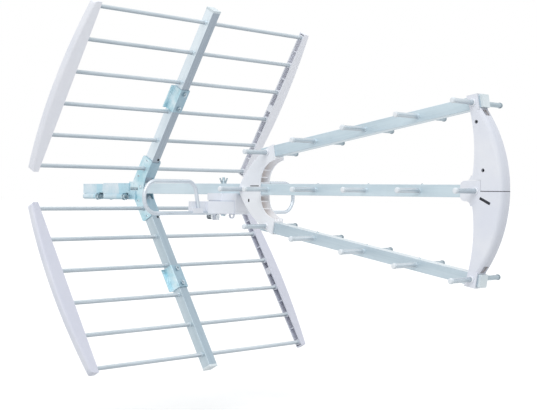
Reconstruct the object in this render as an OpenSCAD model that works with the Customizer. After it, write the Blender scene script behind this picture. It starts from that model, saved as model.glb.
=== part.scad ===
// Outdoor television antenna with a V reflector, a box dipole and three director booms.
// The origin is on the mast's axis, at the height of the centre boom. +X points the way the antenna looks.

/* [Booms] */
// Outside width of the square boom tubes
boom_w = 20; // [18:0.5:24]
// Wall of the square tubes
tube_wall = 1.5; // [1:0.1:2.5]
// Outside corner radius of the square tubes
tube_corner = 1.2; // [0.6:0.1:2]
// Angle at which each outer boom leaves the centre boom's direction
outer_boom_angle = 9.85; // [8:0.05:12]
// Height of an outer boom's axis at its first director
outer_boom_rise = 65; // [60:1:75]
// Length of an outer boom behind its first director
boom_root = 14; // [10:1:20]
// Length of an outer boom beyond its last director
boom_tail = 12.5; // [11:0.5:30]
// Length of the centre boom beyond its last director
center_tail = 14; // [10:1:20]
// Gap between the mast and the centre boom's rear end
boom_mast_gap = 6; // [3:0.5:12]

/* [Directors] */
// Distance from the mast's axis to the first director of each boom
first_director_x = 408; // [400:1:440]
// Distance from one director to the next along a boom
director_pitch = 106; // [95:1:120]
// Distance from the mast's axis to the director next to the dipole
rear_director_x = 351; // [350:0.5:353]
// Length of a director tube
director_l = 142; // [120:1:170]
// Outside diameter of a director tube
director_d = 8; // [6:0.5:9]
// Wall of the director and reflector tubes
rod_wall = 0.9; // [0.6:0.1:1.4]
// Length of a director's end cap
tip_l = 4.5; // [3.5:0.5:16]
// Wall of a director's end cap
tip_wall = 0.6; // [0.4:0.1:1.5]

/* [Reflector] */
// Angle of each reflector panel above the boom
panel_angle = 60.35; // [55:0.05:65]
// Distance from the mast's axis to the lowest rod
first_rod_x = 101.4; // [98:0.2:106]
// Height of the lowest rod above the boom's axis
first_rod_z = 38.2; // [36:0.2:42]
// Distance from one reflector rod to the next
rod_pitch = 61.6; // [58:0.2:66]
// Outside diameter of a reflector rod
rod_d = 7.4; // [6:0.2:9]
// Half of the panel's clear width between its side caps
panel_half_w = 273; // [220:1:300]
// Outside width of the square panel spars
spar_w = 20; // [18:0.5:22]
// Length of a spar beyond its last rod
spar_tail = 24; // [18:1:30]
// Gap between a spar's foot and the boom
spar_foot_gap = 0.8; // [0.4:0.1:2]
// Length of the sleeve that joins a spar's two lengths
splice_l = 46; // [40:1:50]
// Distance between the sleeve's two screws
splice_screw_pitch = 30; // [24:1:34]
// Thickness of the folded sheet sleeves and hinge bracket
sheet_t = 2; // [1.5:0.1:2.5]

/* [Side caps] */
// Width of a side cap at its middle
cap_mid_w = 29.5; // [26:0.5:34]
// Width of a side cap at its ends
cap_end_w = 15.5; // [14:0.5:18]
// Thickness of a side cap
cap_t = 14; // [12:0.5:18]
// Wall of a side cap
cap_wall = 2; // [1.5:0.1:2.6]
// Length of a side cap beyond the outermost rods
cap_over = 9.5; // [8:0.5:14]
// Radius of a side cap's outer edge
cap_edge_r = 4; // [3:0.5:5]

/* [Moulded bows] */
// Thickness of the rear bow and the nose across the booms
bow_t = 26; // [25:0.5:32]
// Wall of the rear bow and the nose
bow_wall = 2.2; // [1.8:0.1:2.4]
// Distance from the mast's axis to the rear bow's tip
bow_tip_x = 343; // [341:0.5:344]
// Radius of the rear bow's rear edge
bow_rear_r = 158; // [130:1:200]
// Distance from the mast's axis to the middle of the rear bow's front edge
bow_front_x = 394.5; // [390:0.5:397]
// Reach of the rear bow along an outer boom beyond the first director
bow_reach = 16.5; // [12:0.5:20]
// Distance from the last director to the nose's front
nose_front = 50.5; // [46:0.5:60]
// Radius of the nose's front edge seen from the side
nose_front_r = 218; // [205:1:240]
// Radius of the nose's rounded rim
nose_rim_r = 9; // [5:0.5:11]
// Depth of the nose from front to back at its waist
nose_depth = 53; // [48:0.5:60]
// Radius of the nose's back edge
nose_back_r = 254; // [220:1:300]
// Height at which the nose's back edge lies furthest forward
nose_waist_z = 60; // [54:1:66]
// Reach of the nose's hub behind the last centre director
hub_reach = 27; // [20:1:34]
// Half height of the nose's hub
hub_half_h = 16; // [15:0.5:19]

/* [Dipole] */
// Distance from the mast's axis to the dipole
dipole_x = 295.5; // [292:0.5:299]
// Diameter of the dipole rod
dipole_d = 7; // [5:0.5:8]
// Half of the dipole's width over its ends
dipole_half_l = 205.5; // [190:0.5:230]
// Distance from the boom's axis to a loop's inner leg
loop_leg_y = 73; // [68:0.5:78]
// Height of the loops' upper leg
loop_top_z = 12.6; // [8:0.2:18]
// Height of the loops' lower leg
loop_low_z = -43.4; // [-46:0.2:-42]
// Radius at the inner top corner of a loop, at the rod's centre
loop_corner_r = 21; // [16:0.5:24]

/* [Dipole box] */
// Length of the box behind the dipole's axis
box_back = 21; // [18:0.5:26]
// Length of the box in front of the dipole's axis
box_front = 46; // [42:0.5:47.5]
// Width of the box
box_w = 38; // [36:0.5:44]
// Bottom of the box
box_low_z = -44.5; // [-46:0.5:-44.5]
// Wall of the box
box_wall = 2; // [1.6:0.1:2.6]
// Reach of the box's arms from the boom's axis
arm_reach = 84; // [80:0.5:100]
// Thickness of the arms behind the rods
arm_t = 6; // [5:0.2:7]
// Height of the arms' upper edge
arm_top_z = -22.6; // [-26:0.2:-21]
// Reach of the flares that close round the rods' ends, from the boom's axis
flare_reach = 45; // [40:0.5:50]
// Thread diameter of the cable connector
connector_d = 9.4; // [9:0.1:10]
// Length of the cable connector's thread
connector_l = 12; // [9:0.5:15]
// Depth of the connector's axis below the boom's axis
connector_z = -50.8; // [-54:0.2:-50.6]

/* [Mast clamp] */
// Diameter of the mast that the clamp holds
mast_d = 25; // [24:0.5:28]
// Radial room between the mast and its seats
mast_fit = 0.1; // [0.05:0.05:0.15]
// Thickness of the clamp's steel
clamp_t = 2.2; // [1.8:0.1:2.6]
// Reach of the rear jaw behind the mast's axis
jaw_reach = 68; // [60:1:80]
// Reach of the bracket along the boom
bracket_reach = 62; // [58:1:66]
// Reach of the bracket's lower edge along the boom
bracket_foot_reach = 80; // [76:1:86]
// Top of the bracket's cheeks
cheek_top_z = 9.8; // [8:0.1:9.8]
// Depth of the clamp bolts below the boom's axis
clamp_bolt_z = -16.4; // [-18:0.1:-16]
// Diameter of the clamp bolts
clamp_bolt_d = 6; // [5:0.5:7]
// Outside radius of the rolled edges that carry the bolts
roll_r = 5.1; // [4.6:0.1:5.4]

/* [Fastenings] */
// Diameter of the small rivets
rivet_d = 3; // [2.4:0.1:3.6]
// Diameter of the splice screws and the dipole bolt
screw_d = 5; // [4:0.5:5.5]
// Room round a tube where it passes through a part
tube_fit = 0.2; // [0.1:0.05:0.4]
// Room round a rod, rivet or screw in its hole
rod_fit = 0.06; // [0.04:0.01:0.15]

/* [Hidden] */
$fn = 48;
director_count = 5;
rod_count = 6;
eps = 1;
reach = 2000;

last = director_count - 1;
boom_half = boom_w / 2;
spar_half = spar_w / 2;
pass_half = boom_half + tube_fit;
boss_half = pass_half + bow_wall;
outer_boom_l = last * director_pitch + boom_tail;
last_director_x = first_director_x + last * director_pitch;
center_start_x = mast_d / 2 + boom_mast_gap;
center_end_x = last_director_x + center_tail;

spar_foot_s = (boom_half + spar_foot_gap + spar_half * cos(panel_angle) - first_rod_z) / sin(panel_angle);
last_rod_s = (rod_count - 1) * rod_pitch;
spar_end_s = last_rod_s + spar_tail;
splice_s = 2.5 * rod_pitch - 3;
splice_gap = 0.4;
rod_end_y = panel_half_w + cap_end_w - cap_wall - 1.2;
bead_l = 2.4;
bead_h = 0.8;

cap_from_s = -cap_over;
cap_to_s = last_rod_s + cap_over;
cap_mid_s = (cap_from_s + cap_to_s) / 2;
cap_half_l = (cap_to_s - cap_from_s) / 2;
cap_bulge = cap_mid_w - cap_end_w;
cap_arc_r = (cap_half_l * cap_half_l + cap_bulge * cap_bulge) / (2 * cap_bulge);
cap_arc_y = panel_half_w + cap_mid_w - cap_arc_r;

hinge_fit = 0.2;
hinge_in = max(boom_half, spar_half) + hinge_fit;
hinge_out = hinge_in + sheet_t;
hinge_back = spar_half + 4.6;
hinge_foot_s = -14;
hinge_top_s = 22;
hinge_tab_x = 60;
hinge_tab_top = boom_half + 3;
hinge_tab_front_x = 99;
hinge_bolt_x = 92;
hinge_bolt_z = 3;
hinge_bolt_d = 4;
hinge_slot_l = 20;
hinge_rivet_at = [[-20, 6], [17, 0]];

bow_half_t = bow_t / 2;
bow_boss_x = first_director_x - 8;
bow_chord = norm([bow_boss_x - bow_tip_x, outer_boom_rise + 2]);
bow_dir = [bow_boss_x - bow_tip_x, outer_boom_rise + 2] / bow_chord;
bow_mid = [bow_tip_x + bow_boss_x, outer_boom_rise + 2] / 2;
bow_center = bow_mid + sqrt(pow(bow_rear_r, 2) - pow(bow_chord / 2, 2)) * [bow_dir[1], -bow_dir[0]];
bow_front_r = outer_boom_rise - 2 * boss_half;

nose_front_x = last_director_x + nose_front;
nose_center_x = nose_front_x - nose_front_r;
nose_back_x = nose_front_x - nose_depth - nose_back_r;
nose_end_s = last * director_pitch + boom_tail - 2.5;
nose_split_x = last_director_x + 9.5;
nose_split_gap = 0.5;
hub_back_x = last_director_x - hub_reach;
hub_corner_r = 8;
nose_boss_r = 4.2;
nose_screw_r = 2;
nose_boss_at = [[last_director_x + 0.7, 107.4], [last_director_x + 13.4, 32.1]];
nose_hollow_x = nose_front_x - nose_depth - 30;
nose_rib_at = [46, 66, 86];
nose_slot_h = 14;
bow_rib_at = [9, 22];
bow_rib_back = 4;

dipole_r = dipole_d / 2;
loop_end_r = (loop_top_z - loop_low_z) / 2;
loop_mid_z = (loop_top_z + loop_low_z) / 2;
loop_end_y = dipole_half_l - dipole_r - loop_end_r;
leg_lean = 13;
leg_top = [loop_leg_y + loop_corner_r * (1 - cos(leg_lean)), loop_top_z - loop_corner_r * (1 - sin(leg_lean))];
leg_low_z = loop_low_z + dipole_r + 1.4;
leg_l = (leg_top[1] - leg_low_z) / cos(leg_lean);
leg_foot_y = leg_top[0] - leg_l * sin(leg_lean);
rod_root_y = box_w / 2 + 4;

box_from_x = dipole_x - box_back;
box_to_x = dipole_x + box_front;
box_half_w = box_w / 2;
box_top_z = -boom_half - tube_fit;
saddle_z = -boom_half + 2.4;
saddle_in = boom_half + tube_fit;
lid_t = 3.6;
lid_top_z = box_low_z + lid_t;
block_l = 34;
block_low_z = -20;
block_out = 1.6;
tab_t = 6;
tab_w = connector_d + 2.6;
arm_back_x = dipole_x - dipole_r - 4.5;
clip_in_y = leg_foot_y - 7;
clip_top_z = leg_low_z + 4;
clip_wall = 1;

seat_r = mast_d / 2 + mast_fit;
jaw_in = seat_r + 0.2;
jaw_out = jaw_in + clamp_t;
bracket_in = jaw_out + 0.3;
bracket_out = bracket_in + clamp_t;
neck_in = hinge_out + 0.2;
neck_out = neck_in + clamp_t;
joggle_from_x = 30;
joggle_to_x = 42;
clamp_low_z = clamp_bolt_z - roll_r;
bolt_y = bracket_out + 0.3;
bolt_hole_r = clamp_bolt_d / 2 + 0.3;
jaw_top_z = cheek_top_z - 1.6;
jaw_roll_from_x = 8 - jaw_reach;
jaw_roll_to_x = -23;
jaw_tip_x = -2;
bracket_back_x = -7;
bracket_roll_from_x = -1;
bracket_roll_to_x = 52;
bracket_web_to_x = hinge_tab_x - 1;
clamp_nut_r = clamp_bolt_d * 1.02;
clamp_flange_r = clamp_nut_r + 0.8;
nut_room_r = clamp_flange_r + 0.4;
nut_room_l = 8.6;

// Places children on a boom: k is 0 for the centre, 1 for the upper and -1 for the lower one
module on_boom(k) {
    translate([first_director_x, 0, k * outer_boom_rise])
        rotate([0, -k * outer_boom_angle, 0])
            children();
}

// Places children on a reflector panel: X runs up the panel from the lowest rod, Z is its back
module on_panel(side) {
    mirror([0, 0, side < 0 ? 1 : 0])
        translate([first_rod_x, 0, first_rod_z])
            rotate([0, -panel_angle, 0])
                children();
}

// Extrudes an outline drawn in X and Z, centred on Y = 0
module side_plate(t) {
    rotate([90, 0, 0])
        linear_extrude(height = t, center = true)
            children();
}

// Cylinder along Y, centred
module cross_rod(r, l) {
    rotate([90, 0, 0])
        cylinder(r = r, h = l, center = true);
}

// Square with rounded corners
module rounded_square(w, h, r) {
    square([w - 2 * r, h], center = true);
    square([w, h - 2 * r], center = true);
    for (x = [-1, 1], y = [-1, 1])
        translate([x * (w / 2 - r), y * (h / 2 - r)])
            circle(r);
}

// Square tube along X
module square_tube(w, from_x, to_x) {
    translate([from_x, 0, 0])
        rotate([90, 0, 90])
            difference() {
                linear_extrude(height = to_x - from_x)
                    rounded_square(w, w, tube_corner);
                translate([0, 0, -eps])
                    linear_extrude(height = to_x - from_x + 2 * eps)
                        square(w - 2 * tube_wall, center = true);
            }
}

// Round tube across the boom, swaged on both sides of what it passes through
module swaged_tube(d, half_l, bead_y) {
    difference() {
        union() {
            cross_rod(d / 2, 2 * half_l);
            for (side = [-1, 1])
                translate([0, side * (bead_y + bead_l / 2), 0])
                    cross_rod(d / 2 + bead_h, bead_l);
        }
        cross_rod(d / 2 - rod_wall, 2 * half_l + 2 * eps);
    }
}

// Button head rivet whose head sits on Z = 0
module rivet(d, shank) {
    rotate_extrude() {
        translate([0, -shank])
            square([d / 2, shank + 0.2]);
        intersection() {
            translate([0, 0.9 - 2.6])
                circle(2.6 + 0.4);
            square([d, d / 2]);
        }
    }
}

function rivet_shank() = boom_half - director_d / 2 - 0.3;

// Positions of the directors along a boom, counted from the first
function director_s(i) = (i - 1) * director_pitch;

// The same, with the centre boom's rear director as number 0
function director_x(k, i) = k == 0 && i == 0 ? rear_director_x - first_director_x : director_s(i);

// True where a director's rivet is not hidden inside a moulding
function shows_rivet(k, i) = i < director_count && (k == 0 || i > 1);

module director_holes() {
    for (i = [1 : director_count])
        translate([director_s(i), 0, 0])
            cross_rod(director_d / 2 + rod_fit, boom_w + 2 * eps);
}

module rivet_holes(k) {
    for (i = [1 : director_count])
        if (shows_rivet(k, i))
            translate([director_s(i), 0, 0])
                cylinder(r = rivet_d / 2 + rod_fit, h = boom_half + eps);
}

module center_boom() {
    color("#cfdde6")
        difference() {
            square_tube(boom_w, center_start_x, center_end_x);
            on_boom(0) director_holes();
            on_boom(0) rivet_holes(0);
            translate([rear_director_x, 0, 0])
                cross_rod(director_d / 2 + rod_fit, boom_w + 2 * eps);
            translate([dipole_x, 0, 0])
                cylinder(r = screw_d / 2 + tube_fit, h = boom_w + 2 * eps, center = true);
            translate([hinge_bolt_x, 0, hinge_bolt_z])
                cross_rod(hinge_bolt_d / 2 + rod_fit, boom_w + 2 * eps);
            hinge_slot();
        }
}

module outer_boom(k) {
    color("#cfdde6")
        on_boom(k)
            difference() {
                square_tube(boom_w, -boom_root, outer_boom_l);
                director_holes();
                rivet_holes(k);
            }
}

// Distance from the boom's axis to a director's swaged beads
function director_bead_y(k, i) =
    (i == director_count || (k != 0 && i == 1) || (k == 0 && i == 0) ? bow_half_t : boom_half) + rod_fit;

module director(k, i) {
    color("#b4bec6")
        on_boom(k)
            translate([director_x(k, i), 0, 0])
                swaged_tube(director_d, director_l / 2, director_bead_y(k, i));
}

// Plastic cap on the end of a director that points along +Y
module director_tip() {
    r = director_d / 2 + rod_fit;
    out = r + tip_wall;
    rotate([-90, 0, 0])
        rotate_extrude()
            difference() {
                union() {
                    translate([0, -tip_l + 2])
                        square([out, tip_l - 2]);
                    translate([0, -eps])
                        square([out - 2, eps + 2]);
                    translate([out - 2, 0])
                        circle(2);
                }
                translate([-eps, -tip_l])
                    square([r + eps, tip_l]);
                translate([-reach, -tip_l])
                    square([reach, 2 * tip_l]);
            }
}

module director_caps() {
    color("#eef0f6")
        for (k = [-1, 0, 1], i = [0 : director_count], side = [0, 1])
            if (k == 0 || i > 0)
                on_boom(k)
                    translate([director_x(k, i), 0, 0])
                        mirror([0, side, 0])
                            translate([0, director_l / 2 + rod_fit, 0])
                                director_tip();
}

module reflector_rod(side, i) {
    color("#aeb8c0")
        on_panel(side)
            translate([(i - 1) * rod_pitch, 0, 0])
                swaged_tube(rod_d, rod_end_y, (i == 1 ? hinge_out : spar_half) + rod_fit);
}

module spar(side, from_s, to_s) {
    color("#cbd8e0")
        on_panel(side)
            difference() {
                square_tube(spar_w, from_s, to_s);
                for (i = [0 : rod_count - 1])
                    translate([i * rod_pitch, 0, 0])
                        cross_rod(rod_d / 2 + rod_fit, spar_w + 2 * eps);
                for (s = splice_screw_places())
                    translate([s, 0, 0])
                        cylinder(r = screw_d / 2 + rod_fit, h = spar_w + 2 * eps, center = true);
                for (p = hinge_rivet_at)
                    translate([p[0], 0, p[1]])
                        cross_rod(rivet_d / 2 + rod_fit, spar_w + 2 * eps);
            }
}

function splice_screw_places() = [splice_s - splice_screw_pitch / 2, splice_s + splice_screw_pitch / 2];

module spar_inner(side) {
    spar(side, spar_foot_s, splice_s - splice_gap / 2);
}

module spar_outer(side) {
    spar(side, splice_s + splice_gap / 2, spar_end_s);
}

// Channel round the front and sides of a spar, with lips folded out at its back
module splice() {
    in = spar_half + hinge_fit;
    out = in + sheet_t;
    lip = 7;
    translate([splice_s, 0, 0])
        difference() {
            rotate([90, 0, 90])
                linear_extrude(height = splice_l, center = true)
                    difference() {
                        union() {
                            translate([0, -sheet_t / 2])
                                rounded_square(2 * out, 2 * in + sheet_t, 1.5);
                            translate([-out - lip, in - sheet_t])
                                square([2 * (out + lip), sheet_t]);
                        }
                        translate([-in, -in])
                            square([2 * in, 2 * in + eps]);
                    }
            for (x = [-1, 1])
                translate([x * splice_screw_pitch / 2, 0, -in - sheet_t / 2])
                    cylinder(r = screw_d / 2 + rod_fit, h = sheet_t + 2 * eps, center = true);
        }
}

// Pan head screw through a spar and its nut behind it, as two solids
module splice_screw() {
    head_z = -spar_half - hinge_fit - sheet_t;
    nut_z = spar_half + 0.1;
    difference() {
        union() {
            translate([0, 0, head_z - 2.6])
                cylinder(r = screw_d * 0.9, h = 2.4);
            translate([0, 0, head_z - 1])
                cylinder(r = screw_d / 2, h = nut_z - head_z + 10);
        }
        translate([0, 0, head_z - 2.8])
            for (a = [0, 90])
                rotate(a)
                    translate([-screw_d * 0.55, -0.5, 0])
                        cube([screw_d * 1.1, 1, 1.4]);
    }
    difference() {
        translate([0, 0, nut_z])
            cylinder(r = screw_d * 0.92, h = screw_d * 0.8, $fn = 6);
        cylinder(r = screw_d / 2 + rod_fit, h = reach);
    }
}

module splices() {
    color("#bcd6dd")
        for (side = [-1, 1])
            on_panel(side)
                splice();
}

module splice_screws() {
    color("#c4d4da")
        for (side = [-1, 1])
            on_panel(side)
                for (s = splice_screw_places())
                    translate([s, 0, 0])
                        splice_screw();
}

// Disc whose rim is rounded, lying in X and Z about the origin
module rounded_disc(r, t, rim) {
    rotate([90, 0, 0])
        rotate_extrude($fn = 180) {
            translate([0, -t / 2])
                square([r - rim, t]);
            translate([0, -t / 2 + rim])
                square([r, t - 2 * rim]);
            for (y = [-1, 1])
                translate([r - rim, y * (t / 2 - rim)])
                    circle(rim);
        }
}

// Bowed body of a side cap, grown inwards by inset
module cap_body(inset) {
    intersection() {
        translate([cap_mid_s, cap_arc_y, 0])
            rotate([90, 0, 0])
                rounded_disc(cap_arc_r - inset, cap_t - 2 * inset, cap_edge_r - inset);
        translate([cap_from_s + inset, panel_half_w - (inset > 0 ? eps : 0), -cap_t])
            cube([2 * cap_half_l - 2 * inset, cap_mid_w + 2 * eps, 2 * cap_t]);
    }
}

// Corner cutter that leaves a rounded end on a side cap
module cap_corner(at_s, dir) {
    r = 7;
    translate([at_s, 0, 0])
        mirror([dir > 0 ? 1 : 0, 0, 0])
            translate([0, panel_half_w + cap_end_w + 0.6, 0])
                difference() {
                    translate([-eps, -r, -cap_t])
                        cube([r + eps, r + cap_mid_w, 2 * cap_t]);
                    translate([r, -r, 0])
                        cylinder(r = r, h = 3 * cap_t, center = true);
                }
}

// Side cap on the +Y side: a channel open towards the rods, with ribs and a socket for each rod
module side_cap(side, hand) {
    socket_r = rod_d / 2 + cap_wall;
    rib_t = 1.6;
    block_l = 13;
    color("#e6e8f2")
        on_panel(side)
            mirror([0, hand < 0 ? 1 : 0, 0])
                difference() {
                    union() {
                        difference() {
                            cap_body(0);
                            cap_body(cap_wall);
                        }
                        intersection() {
                            cap_body(0);
                            union() {
                                for (i = [0 : rod_count - 1])
                                    translate([i * rod_pitch, panel_half_w + cap_mid_w / 2, 0])
                                        cross_rod(socket_r, cap_mid_w);
                                for (i = [0 : rod_count - 1])
                                    translate([i * rod_pitch - rib_t / 2, panel_half_w, -cap_t / 2])
                                        cube([rib_t, cap_mid_w, cap_t]);
                                for (i = [0 : rod_count - 2])
                                    translate([(i + 0.5) * rod_pitch - rib_t / 2, panel_half_w + 1, -cap_t / 2])
                                        cube([rib_t, cap_mid_w, cap_t]);
                                translate([cap_mid_s - block_l, panel_half_w, -cap_t / 2])
                                    cube([block_l, cap_mid_w, cap_t]);
                            }
                        }
                    }
                    cap_corner(cap_from_s, -1);
                    cap_corner(cap_to_s, 1);
                    for (i = [0 : rod_count - 1])
                        translate([i * rod_pitch, panel_half_w - eps + (rod_end_y - panel_half_w + eps + 0.3) / 2, 0])
                            cross_rod(rod_d / 2 + rod_fit, rod_end_y - panel_half_w + eps + 0.3);
                }
}

// Plug in the open end of a square tube that ends at X = 0
module tube_plug(w) {
    in = w - 2 * tube_wall - 0.4;
    rotate([90, 0, 90]) {
        translate([0, 0, 0.05])
            linear_extrude(height = 4)
                rounded_square(w + 0.6, w + 0.6, tube_corner);
        translate([0, 0, -8])
            linear_extrude(height = 9)
                square(in, center = true);
    }
}

module end_plugs() {
    color("#e9f0f4") {
        for (k = [-1, 1])
            on_boom(k)
                translate([outer_boom_l, 0, 0])
                    tube_plug(boom_w);
        for (side = [-1, 1])
            on_panel(side)
                translate([spar_end_s, 0, 0])
                    tube_plug(spar_w);
    }
}

// Point in X and Z for a place on a panel: s up the panel, n behind its plane
function panel_point(s, n) = [first_rod_x + s * cos(panel_angle) - n * sin(panel_angle),
    first_rod_z + s * sin(panel_angle) + n * cos(panel_angle)];

// Place along a panel where a line n behind its plane comes down to the height z
function panel_s_at(z, n) = (z - first_rod_z - n * cos(panel_angle)) / sin(panel_angle);

// Upper half of one side of the hinge bracket, drawn in X and Z
module hinge_side_outline() {
    c = 3;
    polygon([
        [hinge_tab_x, -0.01],
        [hinge_tab_x, hinge_tab_top],
        panel_point(panel_s_at(hinge_tab_top, hinge_back), hinge_back),
        panel_point(hinge_top_s - c, hinge_back),
        panel_point(hinge_top_s, hinge_back - c),
        panel_point(hinge_top_s, -hinge_out + c),
        panel_point(hinge_top_s - c, -hinge_out),
        panel_point(hinge_foot_s, -hinge_out),
        [hinge_tab_front_x, -0.01]]);
}

// Front web of one arm of the hinge bracket, drawn in X and Z
module hinge_web_outline() {
    polygon([
        panel_point(hinge_foot_s + 1, -hinge_out - eps),
        panel_point(hinge_top_s - 4, -hinge_out - eps),
        panel_point(hinge_top_s - 4, -hinge_in),
        panel_point(hinge_foot_s + 1, -hinge_in)]);
}

module hinge_bracket() {
    color("#b9d9e0")
        difference() {
            side_plate(2 * hinge_out)
                for (side = [0, 1])
                    mirror([0, side])
                        hinge_side_outline();
            side_plate(2 * hinge_in)
                difference() {
                    square(2 * reach, center = true);
                    for (side = [0, 1])
                        mirror([0, side])
                            hinge_web_outline();
                }
            for (side = [-1, 1])
                on_panel(side) {
                    cross_rod(rod_d / 2 + rod_fit, 2 * hinge_out + 2 * eps);
                    for (p = hinge_rivet_at)
                        translate([p[0], 0, p[1]])
                            cross_rod(rivet_d / 2 + rod_fit, 2 * hinge_out + 2 * eps);
                }
            translate([hinge_bolt_x, 0, hinge_bolt_z])
                cross_rod(hinge_bolt_d / 2 + rod_fit, 2 * hinge_out + 2 * eps);
            hinge_slot();
        }
}

// Slot through the hinge bracket and the boom, behind the hinge bolt
module hinge_slot() {
    translate([hinge_tab_x + 4, -hinge_out - eps, -3.6])
        cube([hinge_slot_l, 2 * hinge_out + 2 * eps, 5]);
}

// Through bolt along Y with a round head at one end and a hexagonal nut at the other
module through_bolt(d, half_grip) {
    rotate([90, 0, 0]) {
        translate([0, 0, half_grip])
            intersection() {
                cylinder(r = d * 0.95, h = d * 0.5);
                translate([0, 0, -d * 0.9])
                    sphere(r = d * 1.35);
            }
        translate([0, 0, -half_grip - d * 0.6])
            cylinder(r = d * 0.9, h = d * 0.6, $fn = 6);
        translate([0, 0, -half_grip - d * 0.6 - 2])
            cylinder(r = d / 2, h = 2 * half_grip + d * 0.6 + 2.2);
    }
}

module rivets() {
    color("#d3e0e6") {
        for (k = [-1, 0, 1], i = [1 : director_count])
            if (shows_rivet(k, i))
                on_boom(k)
                    translate([director_s(i), 0, boom_half + 0.02])
                        rivet(rivet_d, rivet_shank());
        for (side = [-1, 1], p = hinge_rivet_at, hand = [-1, 1])
            on_panel(side)
                translate([p[0], hand * (hinge_out + 0.02), p[1]])
                    rotate([-90 * hand, 0, 0])
                        rivet(rivet_d, sheet_t + hinge_fit + tube_wall + 1);
        translate([hinge_bolt_x, 0, hinge_bolt_z])
            through_bolt(hinge_bolt_d, hinge_out + 0.02);
    }
}

// Strip along a boom's direction, drawn in X and Z
module boom_strip(k, from_s, to_s, from_n, to_n) {
    translate([first_director_x, k * outer_boom_rise])
        rotate(k * outer_boom_angle)
            translate([from_s, from_n])
                square([to_s - from_s, to_n - from_n]);
}

// Space on the axis side of an outer boom, up to a distance from the boom's axis
module between_booms(k, n) {
    mirror([0, k < 0 ? 1 : 0])
        boom_strip(1, -reach, reach, -reach, n);
}

module bow_lens(inset) {
    intersection_for (side = [-1, 1])
        translate([bow_center[0], -side * -bow_center[1]])
            circle(r = bow_rear_r - inset, $fn = 180);
}

module bow_outline() {
    difference() {
        intersection() {
            bow_lens(0);
            between_booms(1, boss_half);
            between_booms(-1, boss_half);
            mirror([0, 1])
                boom_strip(1, -reach, bow_reach, -reach, reach);
            boom_strip(1, -reach, bow_reach, -reach, reach);
        }
        for (side = [-1, 1])
            translate([bow_front_x + bow_front_r, side * boss_half])
                circle(r = bow_front_r, $fn = 96);
        translate([bow_front_x, -boss_half])
            square([reach, 2 * boss_half]);
    }
}

// Space inside an arm of the rear bow, drawn in X and Z
module bow_hollow() {
    for (side = [0, 1])
        mirror([0, side])
            intersection() {
                bow_lens(bow_wall);
                between_booms(1, -boss_half);
                translate([0, boss_half])
                    square([reach, reach]);
            }
}

module rear_bow() {
    rib_t = 1.6;
    color("#eceef6")
        difference() {
            side_plate(bow_t)
                bow_outline();
            difference() {
                side_plate(bow_t - 2 * bow_wall)
                    bow_hollow();
                for (side = [-1, 1], z = bow_rib_at)
                    translate([bow_tip_x, -bow_half_t, side * (boss_half + z) - rib_t / 2])
                        cube([bow_front_x - bow_tip_x - bow_rib_back + z / 3, bow_t, rib_t]);
            }
            translate([bow_tip_x - eps, -pass_half, -pass_half])
                cube([bow_front_x - bow_tip_x + 2 * eps, 2 * pass_half, 2 * pass_half]);
            for (k = [-1, 1])
                on_boom(k) {
                    translate([-boom_root - tube_fit, -pass_half, -pass_half])
                        cube([boom_root + bow_reach + tube_fit + eps, 2 * pass_half, 2 * pass_half]);
                    cross_rod(director_d / 2 + rod_fit, bow_t + 2 * eps);
                }
            translate([rear_director_x, 0, 0])
                cross_rod(director_d / 2 + rod_fit, bow_t + 2 * eps);
            translate([bow_tip_x + 28, -bow_half_t - eps, 5])
                cube([20, 2 * bow_wall, 1.8]);
            translate([bow_tip_x + 24, -bow_half_t - eps, -22.5])
                cube([2, 2 * bow_wall, 5]);
        }
}

// Side outline of the nose without its front edge, drawn in X and Z
module nose_outline() {
    difference() {
        intersection() {
            translate([nose_back_x, -reach])
                square([reach, 2 * reach]);
            between_booms(1, boss_half);
            between_booms(-1, boss_half);
        }
        for (side = [-1, 1])
            translate([nose_back_x, side * nose_waist_z])
                circle(r = nose_back_r, $fn = 180);
        translate([nose_back_x, -nose_waist_z])
            square([nose_back_r - 8, 2 * nose_waist_z]);
        for (side = [0, 1])
            mirror([0, side])
                translate([nose_back_x - eps, nose_waist_z])
                    square([nose_back_r * 0.7, reach]);
    }
}

// Hub of the nose round the centre boom, drawn in X and Z
module hub_outline() {
    r = hub_corner_r;
    front = nose_front_x - nose_depth;
    translate([hub_back_x, -hub_half_h + r])
        square([front - hub_back_x, 2 * (hub_half_h - r)]);
    translate([hub_back_x + r, -hub_half_h])
        square([front - hub_back_x - r, 2 * hub_half_h]);
    for (side = [-1, 1]) {
        translate([hub_back_x + r, side * (hub_half_h - r)])
            circle(r);
        difference() {
            translate([front - r - 6, side > 0 ? hub_half_h - 0.5 : -hub_half_h - r])
                square([r + 6, r + 0.5]);
            translate([front - r - 6, side * (hub_half_h + r)])
                circle(r);
        }
    }
}

module nose_outer() {
    intersection() {
        translate([nose_center_x, 0, 0])
            rounded_disc(nose_front_r, bow_t, nose_rim_r);
        side_plate(bow_t)
            nose_outline();
    }
    side_plate(bow_t)
        hub_outline();
    for (k = [-1, 1])
        side_plate(bow_t)
            intersection() {
                boom_strip(k, last * director_pitch - 8, nose_end_s, -boss_half, boss_half);
                nose_outline();
            }
}

module nose_hollow() {
    intersection() {
        translate([nose_center_x, 0, 0])
            rounded_disc(nose_front_r - bow_wall, bow_t - 2 * bow_wall, nose_rim_r - bow_wall);
        side_plate(bow_t)
            for (side = [0, 1])
                mirror([0, side])
                    intersection() {
                        translate([nose_hollow_x, hub_half_h + 1])
                            square([reach, reach]);
                        between_booms(1, -boss_half);
                    }
    }
}

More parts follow.
